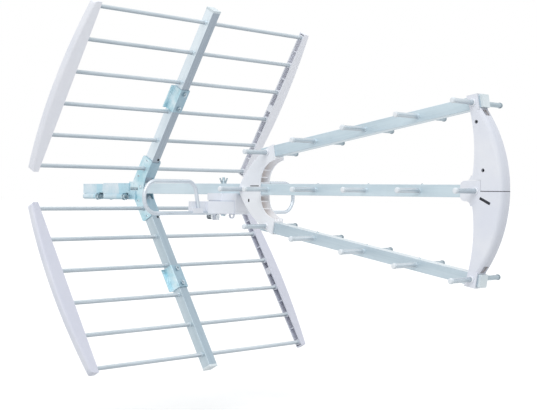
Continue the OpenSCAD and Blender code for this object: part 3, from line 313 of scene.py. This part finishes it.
def mouldedWhite(name, look, mask=None):
    # spark-eroded grain, flow marks and specks
    f = newFinish(name)
    grain = plasticGrain
    flow = f.noise(*grain["flow"])
    fine = f.noise(*look["grain"])
    specks = f.noise(*grain["specks"])
    colour = f.blend(f.spread(flow, *grain["flowRange"]), look["cool"], look["warm"])
    colour = f.blend(grain["base"], colour, look["base"])
    colour = f.blend(f.spread(specks, *grain["speckRange"]) * grain["speck"], colour, look["cool"])
    if look["mottle"]:
        mottle = f.spread(f.noise(*grain["mottles"]), *grain["mottleRange"]) * look["mottle"]
        colour = f.blend(mottle, colour, grain["mottleTone"])
    # painted tone on faces that look forward, darker on most looks and lighter on the upper caps
    if "front" in look:
        front = f.spread(f.facing(forward), *grain["frontRange"]) * grain["front"]
        colour = f.blend(front, colour, look["front"])
    rough = grain["rough"] + (fine - 0.5) * grain["fineRough"] + (flow - 0.5) * grain["flowRough"]
    sockets = {"Roughness": rough, "Specular IOR Level": grain["specular"],
               "Normal": f.bump(fine, look["bump"], grain["height"])}
    if mask:
        patch = mask(f)
        colour = f.blend(patch * look["amount"], colour, look["patch"])
        if look["through"]:
            # painted glow: light that no lamp gives, in the patch's tone
            lit = f.spread(patch, *grain["throughRange"]) * look["through"]
            glow = f.blend(lit, (0.0, 0.0, 0.0), look["patch"])
            sockets.update({"Emission Color": glow, "Emission Strength": 1.0})
    return f.surface(dict(sockets, **{"Base Color": colour}))


def reach(f, x, z):
    # distance in the upright plane from an arc's middle, the same above and below the boom
    up = f.size(f.along(upward))
    flat = f.node("ShaderNodeCombineXYZ", {}, {0: f.along(forward) - x, 1: up - z})
    return f.vectorWork("LENGTH", flat)


bowPocketPlace = {"half": 0.01085, "boom": 0.0126, "arc": (0.4347, 0.0124), "deep": (0.047, 0.056),
                  "least": 0.3, "even": 0.5, "uneven": 0.4, "patchyShade": (90.0, 2.0)}
nosePocketPlace = {"half": 0.0105, "boom": 0.0126, "arc": (0.6645, 0.0), "edge": 0.2142}
boxPalePlace = {"arms": 0.0193, "saddle": -0.0202, "frontRange": (0.6, 0.9)}
farTipShadeFrom = 0.05
capPocketPlace = {"wall": -0.2745, "range": (0.2, 0.8)}


def hollow(f, place):
    # between a moulding's two side walls, clear of the boom
    between = f.size(f.along(sideways)) < place["half"]
    return between * (f.size(f.along(upward)) > place["boom"])


def bowPocketShade(f):
    # painted shade inside the bow's arms, strongest well behind the front rim, made patchy by a noise
    place = bowPocketPlace
    deep = f.spread(reach(f, *place["arc"]), *place["deep"])
    patchyShade = deep * f.noise(*place["patchyShade"])
    return hollow(f, place) * (place["least"] + deep * place["even"] + patchyShade * place["uneven"])


def nosePocketShade(f):
    # painted shade inside the nose, well behind its front edge
    return hollow(f, nosePocketPlace) * (reach(f, *nosePocketPlace["arc"]) < nosePocketPlace["edge"])


def boxPale(f):
    # arms and saddle come out palest, and the front face takes painted light where the bow's shadow falls
    arms = f.size(f.along(sideways)) > boxPalePlace["arms"]
    saddle = f.along(upward) > boxPalePlace["saddle"]
    front = f.spread(f.facing(forward), *boxPalePlace["frontRange"])
    return f.spread(arms + saddle + front, 0.0, 1.0)


def farTipShade(f):
    # painted shade on the caps of the far ends, which the photograph shows darker
    return f.along(sideways) > farTipShadeFrom


def capPocketGlow(hand):
    # painted light on the inner side of a side cap, between its ribs, where it lies in shade: a glow and a
    # warm tint
    inward = (0, -hand, 0)

    def inside(f):
        deep = f.along(inward) < capPocketPlace["wall"]
        return f.spread(f.facing(inward), *capPocketPlace["range"]) * deep
    return inside


# plated fixings and small dark or grey trim
fixingLook = {"light": shade(218, 232, 238), "dark": shade(168, 188, 198), "rough": 0.3}
boltLook = {"light": shade(206, 220, 226), "dark": shade(136, 160, 172), "rough": 0.26}
wingLook = {"light": shade(184, 198, 205), "dark": shade(126, 144, 154), "rough": 0.3}
screwLook = {"light": shade(202, 216, 224), "dark": shade(128, 148, 160), "rough": 0.28}
connectorLook = {"light": shade(244, 248, 250), "dark": shade(190, 198, 206), "rough": 0.22}
# the connector's thread, darkened as painted shade
shadedThreadLook = {"light": shade(124, 134, 142), "dark": shade(58, 64, 72), "rough": 0.4}
clampThreadLook = {"light": shade(150, 168, 178), "dark": shade(92, 110, 120), "rough": 0.36}
darkScrewLook = {"light": shade(74, 76, 82), "dark": shade(30, 32, 38), "rough": 0.5}
wedgeLook = {"light": shade(196, 212, 220), "dark": shade(130, 150, 162), "rough": 0.3}
sealLook = {"light": shade(96, 94, 104), "dark": shade(62, 60, 70), "rough": 0.6}
platedGrain = {"clouds": (260.0, 4.0), "marks": (1500.0, 2.0), "cloudRange": (0.35, 0.65), "metal": 0.8,
               "markRough": 0.25, "bump": 0.15, "height": 0.0003}


def platedFixing(name, look):
    f = newFinish(name)
    grain = platedGrain
    clouds = f.noise(*grain["clouds"])
    marks = f.noise(*grain["marks"])
    colour = f.blend(f.spread(clouds, *grain["cloudRange"]), look["dark"], look["light"])
    rough = look["rough"] + (marks - 0.5) * grain["markRough"]
    return f.surface({"Base Color": colour, "Metallic": grain["metal"], "Roughness": rough,
                      "Normal": f.bump(marks, grain["bump"], grain["height"])})


boardLook = {"weave": (1800.0, 1.0), "weaveRange": (0.4, 0.6), "dark": shade(64, 96, 70),
             "light": shade(84, 118, 86), "rough": 0.4, "weaveRough": 0.1}


def laminate(name, look):
    f = newFinish(name)
    weave = f.noise(*look["weave"])
    colour = f.blend(f.spread(weave, *look["weaveRange"]), look["dark"], look["light"])
    return f.surface({"Base Color": colour, "Roughness": look["rough"] + weave * look["weaveRough"]})


fixing = platedFixing("fixingZinc", fixingLook)
screwBright = platedFixing("screwBright", screwLook)
darkScrew = platedFixing("screwDark", darkScrewLook)
zincPale = zincSheet("zincPale", sheetLook, panelFront.values())
zincClamp = zincSheet("zincClamp", clampLook)
bowWhite = mouldedWhite("bowWhite", bowLook, bowPocketShade)
noseWhite = mouldedWhite("noseWhite", noseLook, nosePocketShade)
boxWhite = mouldedWhite("boxWhite", boxLook, boxPale)
directorMetal = drawnMetal("directorTube", sideways, directorLook)
rodMetal = drawnMetal("reflectorRod", sideways, rodLook)
dipoleMetal = drawnMetal("dipoleRod", sideways, dipoleLook)

finishes = {
    "splices": zincPale, "hinge_bracket": zincPale, "mast_bracket": zincClamp, "mast_jaw": zincClamp,
    "splice_screws": screwBright, "rivets": fixing, "dipole_bolt": fixing,
    "wing_nut": platedFixing("wingSteel", wingLook), "clamp_bolts": platedFixing("boltSteel", boltLook),
    "cable_connector": platedFixing("connectorNickel", connectorLook),
    "rear_bow": bowWhite, "nose_upper": noseWhite, "nose_lower": noseWhite,
    "dipole_box": boxWhite, "box_lid": boxWhite, "balun_board": laminate("boardGreen", boardLook),
    "director_caps": mouldedWhite("tipWhite", tipLook, farTipShade),
    "end_plugs": mouldedWhite("plugWhite", plugLook),
}
for name, look in boomLooks.items():
    finishes[name + "_boom"] = drawnMetal(name + "BoomTube", alongBoom[name], look)
for side in flips:
    sparMetal = drawnMetal(side + "Spar", alongPanel[side], sparLooks[side], panelFront[side])
    finishes[side + "_spar_inner"] = sparMetal
    finishes[side + "_spar_outer"] = sparMetal
    for name, hand in hands.items():
        capWhite = mouldedWhite(side + name.title() + "Cap", capLooks[side], capPocketGlow(hand))
        finishes["cap_" + side + "_" + name] = capWhite
for name in hands:
    finishes["dipole_loop_" + name] = dipoleMetal
for name, node in cadNodes.items():
    if "_director_" in name:
        finishes[name] = directorMetal
    elif "_rod_" in name:
        finishes[name] = rodMetal
    node.data.materials.clear()
    node.data.materials.append(finishes[name])
print("finishes laid on", len(finishes), "nodes")


# small pieces: each is one mesh of turned, threaded or bevelled shapes

def turnTo(direction, start):
    turn = Vector(upward).rotation_difference(Vector(direction).normalized()).to_matrix().to_4x4()
    return Matrix.Translation(Vector(start)) @ turn


def joinRings(shape, rings, closed):
    count = len(rings[0])
    pairs = zip(rings, rings[1:] + rings[:1]) if closed else zip(rings, rings[1:])
    for first, second in pairs:
        for i in range(count):
            j = (i + 1) % count
            shape.faces.new((first[i], first[j], second[j], second[i]))


def addTurned(shape, outline, direction, start, segments=40):
    # closed outline in radius and height, turned once round an axis
    rings = []
    for step in range(segments):
        turn = step / segments * math.tau
        rings.append([shape.verts.new((r * math.cos(turn), r * math.sin(turn), h)) for r, h in outline])
    joinRings(shape, rings, True)
    bmesh.ops.transform(shape, matrix=turnTo(direction, start), verts=[v for ring in rings for v in ring])


threadShape = {"stepsATurn": 24, "runOut": 10, "root": 0.46, "crest": 0.18}


def addThread(shape, look, direction, start):
    # one ridge wound round a shank, running out at both ends
    stepsATurn, runOut = threadShape["stepsATurn"], threadShape["runOut"]
    steps = int(look["length"] / look["pitch"] * stepsATurn)
    half = look["pitch"] * threadShape["root"]
    flat = half * threadShape["crest"]
    root, crest = (look["radius"] + sign * look["depth"] * 0.5 for sign in (-1, 1))
    rings = []
    for step in range(steps + 1):
        turn = step / stepsATurn * math.tau
        height = half + step / stepsATurn * look["pitch"]
        top = root + (crest - root) * min(1.0, step / runOut, (steps - step) / runOut)
        outline = [(r, height + h) for r, h in ((root, -half), (top, -flat), (top, flat), (root, half))]
        rings.append([shape.verts.new((r * math.cos(turn), r * math.sin(turn), h)) for r, h in outline])
    joinRings(shape, rings, False)
    shape.faces.new(rings[0][::-1])
    shape.faces.new(rings[-1])
    bmesh.ops.transform(shape, matrix=turnTo(direction, start), verts=[v for ring in rings for v in ring])


def addBlock(shape, low, high, edge):
    # block with bevelled edges between two corners
    low, high = Vector(low), Vector(high)
    place = Matrix.Translation((low + high) / 2) @ Matrix.Diagonal((*(high - low), 1))
    made = bmesh.ops.create_cube(shape, size=1.0, matrix=place)
    edges = sorted({e for v in made["verts"] for e in v.link_edges}, key=lambda e: e.index)
    old = set(shape.verts) - set(made["verts"])
    bmesh.ops.bevel(shape, geom=edges, offset=edge, segments=2, affect="EDGES", profile=0.5)
    return [v for v in shape.verts if v not in old]


def finishPiece(name, shape, material, smooth=False):
    bmesh.ops.recalc_face_normals(shape, faces=shape.faces)
    mesh = bpy.data.meshes.new(name)
    shape.to_mesh(mesh)
    shape.free()
    mesh.materials.append(material)
    for face in mesh.polygons:
        face.use_smooth = smooth
    piece = bpy.data.objects.new(name, mesh)
    bpy.context.scene.collection.objects.link(piece)
    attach(piece, "root")


panelFoot = {"x": 0.1014, "rise": 0.0382}
boomStart = {"x": 0.408, "rise": 0.065, "pitch": 0.106, "last": 0.424, "half": 0.01}
axisGap = 0.00005  # how near the outlines of solid turned shapes come to their axis


def panelPoint(side, s, n, y=0.0):
    # place on a reflector panel: s up from the lowest rod, n behind its plane
    foot = Vector((panelFoot["x"], y, flips[side] * panelFoot["rise"]))
    return foot + alongPanel[side] * s - panelFront[side] * n


def boomPoint(side, s, y=0.0, n=0.0):
    # place on a boom: s from its first director, n above its axis
    axis = Vector(alongBoom[side])
    start = Vector((boomStart["x"], y, flips.get(side, 0) * boomStart["rise"]))
    return start + axis * s + Vector((-axis.z, 0, axis.x)) * n


# cable connector: a fine thread, dark as painted shade under the box, and the white core round its contact
connectorLow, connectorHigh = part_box("cable_connector")
connectorAxis = (connectorLow.z + connectorHigh.z) / 2
connectorThread = {"radius": 0.0047, "pitch": 0.0008, "depth": 0.0006, "length": 0.0106, "from": 0.0006}
shape = bmesh.new()
addThread(shape, connectorThread, forward, (connectorLow.x + connectorThread["from"], 0, connectorAxis))
finishPiece("connectorThread", shape, platedFixing("threadShaded", shadedThreadLook))
coreShape = {"inner": 0.00075, "outer": 0.0025, "proud": 0.0003, "edge": 0.0001}
inner, outer, proud = (coreShape[k] for k in ("inner", "outer", "proud"))
coreOutline = [(inner, 0), (outer, 0), (outer - coreShape["edge"], proud), (inner, proud)]
shape = bmesh.new()
addTurned(shape, coreOutline, (-1, 0, 0), (connectorLow.x, 0, connectorAxis))
finishPiece("connectorCore", shape, mouldedWhite("coreWhite", plugLook))

# dipole bolt: its thread above the wing nut
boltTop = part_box("dipole_bolt")[1].z
wingLow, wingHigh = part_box("wing_nut")
dipoleX = (wingLow.x + wingHigh.x) / 2
wingBody = {"height": 0.005, "gap": 0.0004, "free": 0.0014}
screwThread = {"radius": 0.0025, "pitch": 0.0008, "depth": 0.0005}
threadFrom = wingLow.z + wingBody["height"]
shape = bmesh.new()
addThread(shape, dict(screwThread, length=boltTop - threadFrom - wingBody["free"]), upward,
          (dipoleX, 0, threadFrom + wingBody["gap"]))
finishPiece("dipoleBoltThread", shape, fixing)

# clamp: threads between the jaw's nuts and the bracket, and on the free ends
clampBolts = {"y": 0.0178, "z": -0.0164, "spans": ((-0.0158, 0.0138), (0.0592, 0.0078))}
clampThread = {"radius": 0.003, "pitch": 0.001, "depth": 0.0006}
shape = bmesh.new()
for hand in hands.values():
    for start, length in clampBolts["spans"]:
        place = (start, hand * clampBolts["y"], clampBolts["z"])
        addThread(shape, dict(clampThread, length=length), forward, place)
finishPiece("clampThreads", shape, platedFixing("clampThreadSteel", clampThreadLook))

# splice screws: threads behind their nuts
spliceScrews = {"at": (0.136, 0.166), "from": 0.0143, "length": 0.0036}
shape = bmesh.new()
for side in flips:
    for s in spliceScrews["at"]:
        place = panelPoint(side, s, spliceScrews["from"])
        addThread(shape, dict(screwThread, length=spliceScrews["length"]), -panelFront[side], place)
finishPiece("spliceScrewThreads", shape, screwBright)
print("threads cut")

# white collars where directors enter the rear bow and the nose
collarShape = {"tube": 0.00405, "bead": 0.00485, "outer": 0.0057, "length": 0.003, "face": 0.013,
               "round": 0.0008, "roundOut": 0.0003, "roundUp": 0.0002, "lip": 0.00045, "cone": 0.0005,
               "rearDirector": -0.057}
collarPlaces = [boomPoint("center", collarShape["rearDirector"]), boomPoint("center", boomStart["last"])]
collarPlaces += [boomPoint(side, s) for side in flips for s in (0.0, boomStart["last"])]
tube, bead, outer, length = (collarShape[k] for k in ("tube", "bead", "outer", "length"))
collarOutline = [(bead, 0), (outer, 0), (outer, length - collarShape["round"]),
                 (outer - collarShape["roundOut"], length - collarShape["roundUp"]),
                 (outer - collarShape["round"], length), (tube, length), (tube, length - collarShape["lip"]),
                 (bead, length - collarShape["cone"])]
shape = bmesh.new()
for place in collarPlaces:
    for hand in hands.values():
        start = place + Vector((0, hand * collarShape["face"], 0))
        addTurned(shape, collarOutline, (0, hand, 0), start)
finishPiece("directorCollars", shape, bowWhite, True)

# screws sunk in the nose's two holes, their tips on the holes' floors, with an eyelet round each hole;
# screws and eyelets are dark as painted shade in the holes
noseScrews = {"at": ((0.8327, 0.1074), (0.8454, 0.0321)), "headY": -0.0112, "tipY": -0.0041,
              "radius": 0.00192, "edge": 0.0003, "rim": 0.0004, "head": 0.001, "neck": 0.0021,
              "shank": 0.0011, "point": 0.0008, "recess": 0.0005, "recessMouth": 0.0006,
              "recessDepth": 0.0006, "segments": 32}
noseEyelet = {"inner": 0.00202, "outer": 0.0028, "edge": 0.0001, "sunk": -0.0002, "proud": 0.00005,
              "face": -0.013}
depth = noseScrews["tipY"] - noseScrews["headY"]
radius, shank, sunk = (noseScrews[k] for k in ("radius", "shank", "recessDepth"))
screwOutline = [(axisGap, sunk), (noseScrews["recess"], sunk), (noseScrews["recessMouth"], 0),
                (radius - noseScrews["edge"], 0), (radius, noseScrews["rim"]), (radius, noseScrews["head"]),
                (shank, noseScrews["neck"]), (shank, depth - noseScrews["point"]), (axisGap, depth)]
inner, outer, sunk, proud = (noseEyelet[k] for k in ("inner", "outer", "sunk", "proud"))
eyeletOutline = [(inner, sunk), (outer - noseEyelet["edge"], sunk), (outer, proud), (inner, proud)]
shape = bmesh.new()
for x, z in noseScrews["at"]:
    addTurned(shape, screwOutline, sideways, (x, noseScrews["headY"], z), noseScrews["segments"])
    addTurned(shape, eyeletOutline, sideways, (x, noseEyelet["face"], z), noseScrews["segments"])
finishPiece("noseScrews", shape, darkScrew)

# dark tongues as painted shade in the rear bow's slot above the boom and in its oval, with the oval's rim,
# and a dark tongue aslant in the nose
darkTongues = {"bowUpper": ((0.3712, -0.01305, 0.0051), (0.3908, -0.01002, 0.0067), 0.0002),
                "bowLower": ((0.36702, -0.0131, -0.02248), (0.36898, -0.0106, -0.01752), 0.0002),
                "bowLowerRim": ((0.3665, -0.01322, -0.0227), (0.3695, -0.01298, -0.0173), 0.000072)}
noseLatch = {"at": (0.8494, 0, -0.0154), "turn": math.radians(26), "edge": 0.0001,
             "low": (-0.0101, -0.01318, -0.0021), "high": (0.0101, -0.0126, 0.0021)}
shape = bmesh.new()
for low, high, edge in darkTongues.values():
    addBlock(shape, low, high, edge)
tongue = addBlock(shape, noseLatch["low"], noseLatch["high"], noseLatch["edge"])
turned = Matrix.Translation(noseLatch["at"]) @ Matrix.Rotation(noseLatch["turn"], 4, "Y")
bmesh.ops.transform(shape, matrix=turned, verts=tongue)
finishPiece("darkTongues", shape, darkScrew)

# thin grey seal in the joint between the nose's two halves
sealShape = {"from": 0.8415, "to": 0.8826, "half": 0.01308, "rim": 0.009, "low": -0.0009, "high": 0.0003,
             "steps": 8}
rim, half, steps = (sealShape[k] for k in ("rim", "half", "steps"))
angles = [k / steps * math.pi / 2 for k in range(steps + 1)]
arc = [(sealShape["to"] - rim + rim * math.sin(a), -half + rim - rim * math.cos(a)) for a in angles]
farArc = [(x, -y) for x, y in reversed(arc)]
outline = [(sealShape["from"], -half)] + arc + farArc + [(sealShape["from"], half)]
shape = bmesh.new()
lowRing = [shape.verts.new((x, y, sealShape["low"])) for x, y in outline]
highRing = [shape.verts.new((x, y, sealShape["high"])) for x, y in outline]
joinRings(shape, [lowRing, highRing], False)
shape.faces.new(lowRing[::-1])
shape.faces.new(highRing)
finishPiece("noseSeal", shape, platedFixing("sealGrey", sealLook))

# zinc wedge that fills most of the slot behind the hinge bolt
wedgeShape = {"low": (0.0642, -0.0116, -0.0031), "high": (0.0816, 0.0116, 0.0009), "edge": 0.0007}
shape = bmesh.new()
addBlock(shape, wedgeShape["low"], wedgeShape["high"], wedgeShape["edge"])
finishPiece("hingeWedge", shape, platedFixing("wedgeSteel", wedgeLook))

# pan head screw above each web of the hinge bracket
hingeScrew = {"s": 0.0245, "y": 0.0048, "face": -0.01, "radius": 0.0022, "height": 0.0014, "round": 0.0007,
              "side": 0.0006, "recess": 0.0006, "recessMouth": 0.0007, "recessDepth": 0.0005, "segments": 28}
radius, height = hingeScrew["radius"], hingeScrew["height"]
recessFloor = height - hingeScrew["recessDepth"]
hingeOutline = [(axisGap, recessFloor), (hingeScrew["recess"], recessFloor),
                (hingeScrew["recessMouth"], height), (radius - hingeScrew["round"], height),
                (radius, height - hingeScrew["side"]), (radius, 0), (axisGap, 0)]
shape = bmesh.new()
for side in flips:
    place = panelPoint(side, hingeScrew["s"], hingeScrew["face"], hingeScrew["y"])
    addTurned(shape, hingeOutline, panelFront[side], place, hingeScrew["segments"])
finishPiece("hingeScrews", shape, darkScrew)

# mandrel ends in the middle of the blind rivets, over the directors and through the hinge bracket
mandrelShape = {"crown": 0.0011, "radius": 0.0009, "sunk": -0.0006, "proud": 0.0004, "edge": 0.0003,
                "dimple": 0.0002, "segments": 20}
hingeRivets = {"y": 0.0122, "at": ((-0.02, 0.006), (0.017, 0.0))}
rivetedDirectors = {"center": (0, 1, 2, 3), "upper": (1, 2, 3), "lower": (1, 2, 3)}
rivetSpots = []
for side, numbers in rivetedDirectors.items():
    axis = alongBoom[side]
    for i in numbers:
        spot = boomPoint(side, boomStart["pitch"] * i, n=boomStart["half"])
        rivetSpots.append((spot, (-axis[2], 0, axis[0])))
    for s, n in hingeRivets["at"] if side in flips else ():
        for hand in hands.values():
            rivetSpots.append((panelPoint(side, s, n, hand * hingeRivets["y"]), (0, hand, 0)))
radius, sunk, proud = (mandrelShape[k] for k in ("radius", "sunk", "proud"))
mandrelOutline = [(axisGap, sunk), (radius, sunk), (radius, proud - mandrelShape["edge"]),
                  (radius - mandrelShape["edge"], proud), (axisGap, proud - mandrelShape["dimple"])]
shape = bmesh.new()
for spot, out in rivetSpots:
    start = spot + Vector(out) * mandrelShape["crown"]
    addTurned(shape, mandrelOutline, out, start, mandrelShape["segments"])
finishPiece("rivetMandrels", shape, darkScrew)
print("collars, screws and rivet ends set")


# camera: solved from the photograph's own lines
cameraLook = {"at": (1.86694, -1.74261, -0.00594), "azimuth": 40.0305, "elevation": 0.5474, "roll": 0.5973,
              "focal": 1283.73, "imageWidth": 537, "sensorWidth": 36, "clipEnd": 200}


def placeCamera(look):
    azimuth, elevation, roll = (math.radians(look[k]) for k in ("azimuth", "elevation", "roll"))
    level = math.cos(elevation)
    ahead = Vector((-math.sin(azimuth) * level, math.cos(azimuth) * level, -math.sin(elevation)))
    right = Vector((math.cos(azimuth), math.sin(azimuth), 0))
    up = right.cross(ahead)
    rolledRight = math.cos(roll) * right + math.sin(roll) * up
    rolledUp = -math.sin(roll) * right + math.cos(roll) * up
    data = bpy.data.cameras.new("view")
    data.sensor_fit = "HORIZONTAL"
    data.sensor_width = look["sensorWidth"]
    data.lens = look["focal"] / look["imageWidth"] * look["sensorWidth"]
    data.clip_end = look["clipEnd"]
    camera = bpy.data.objects.new("view", data)
    bpy.context.scene.collection.objects.link(camera)
    turned = Matrix((rolledRight, rolledUp, -ahead)).transposed().to_4x4()
    camera.matrix_world = Matrix.Translation(Vector(look["at"])) @ turned
    bpy.context.scene.camera = camera


placeCamera(cameraLook)

# studio: white world, pale floor and three soft lamps; a lamp's level is what it adds to a face turned to it
lampLooks = {"keyLamp": {"from": (0.36, -0.66, 0.6), "level": 0.26, "spread": 35},
             "topLamp": {"from": (0.2, -0.1, 1.0), "level": 0.28, "spread": 40},
             "backLamp": {"from": (0.6, 0.6, 0.5), "level": 0.06, "spread": 40}}
studioLook = {"sky": 0.68, "skyTone": (0.97, 0.988, 1.0), "white": (1, 1, 1), "floorZ": -0.42,
              "floorHalf": 40, "floorTone": (0.64, 0.64, 0.64), "floorGlow": 0.4}
for name, look in lampLooks.items():
    data = bpy.data.lights.new(name, "SUN")
    data.energy = look["level"] * math.pi
    data.angle = math.radians(look["spread"])
    lamp = bpy.data.objects.new(name, data)
    bpy.context.scene.collection.objects.link(lamp)
    lamp.rotation_euler = Vector(look["from"]).to_track_quat("Z", "Y").to_euler()


def plainWhite(g, usual, plain):
    # camera, mirror and see-through rays meet the plain shader, all others the usual one
    path = g.node("ShaderNodeLightPath", out="Is Camera Ray")
    seen = path + path.twin("Is Glossy Ray") + path.twin("Is Transmission Ray")
    return g.node("ShaderNodeMixShader", {}, {0: seen, 1: usual, 2: plain})


bpy.context.scene.world = bpy.data.worlds.new("studio")
g = Graph(bpy.context.scene.world)
sky = g.node("ShaderNodeBackground", {}, {"Color": studioLook["skyTone"], "Strength": studioLook["sky"]})
white = g.node("ShaderNodeBackground", {}, {"Color": studioLook["white"], "Strength": 1.0})
g.node("ShaderNodeOutputWorld", {}, {"Surface": plainWhite(g, sky, white)})

floorMesh = bpy.data.meshes.new("floor")
floorHalf, floorZ = studioLook["floorHalf"], studioLook["floorZ"]
corners = [(floorHalf * x, floorHalf * y, floorZ) for x, y in ((-1, -1), (1, -1), (1, 1), (-1, 1))]
floorMesh.from_pydata(corners, [], [(0, 1, 2, 3)])
floor = bpy.data.objects.new("floor", floorMesh)
bpy.context.scene.collection.objects.link(floor)
g = newFinish("floorPale")
matt = g.node("ShaderNodeBsdfDiffuse", {}, {"Color": studioLook["floorTone"]})
glow = g.node("ShaderNodeEmission", {}, {"Color": studioLook["white"], "Strength": studioLook["floorGlow"]})
brighter = g.node("ShaderNodeAddShader", {}, {0: matt, 1: glow})
g.node("ShaderNodeOutputMaterial", {}, {"Surface": plainWhite(g, matt, brighter)})
floorMesh.materials.append(g.owner)

bpy.context.scene.view_settings.view_transform = "Standard"
print("studio set")
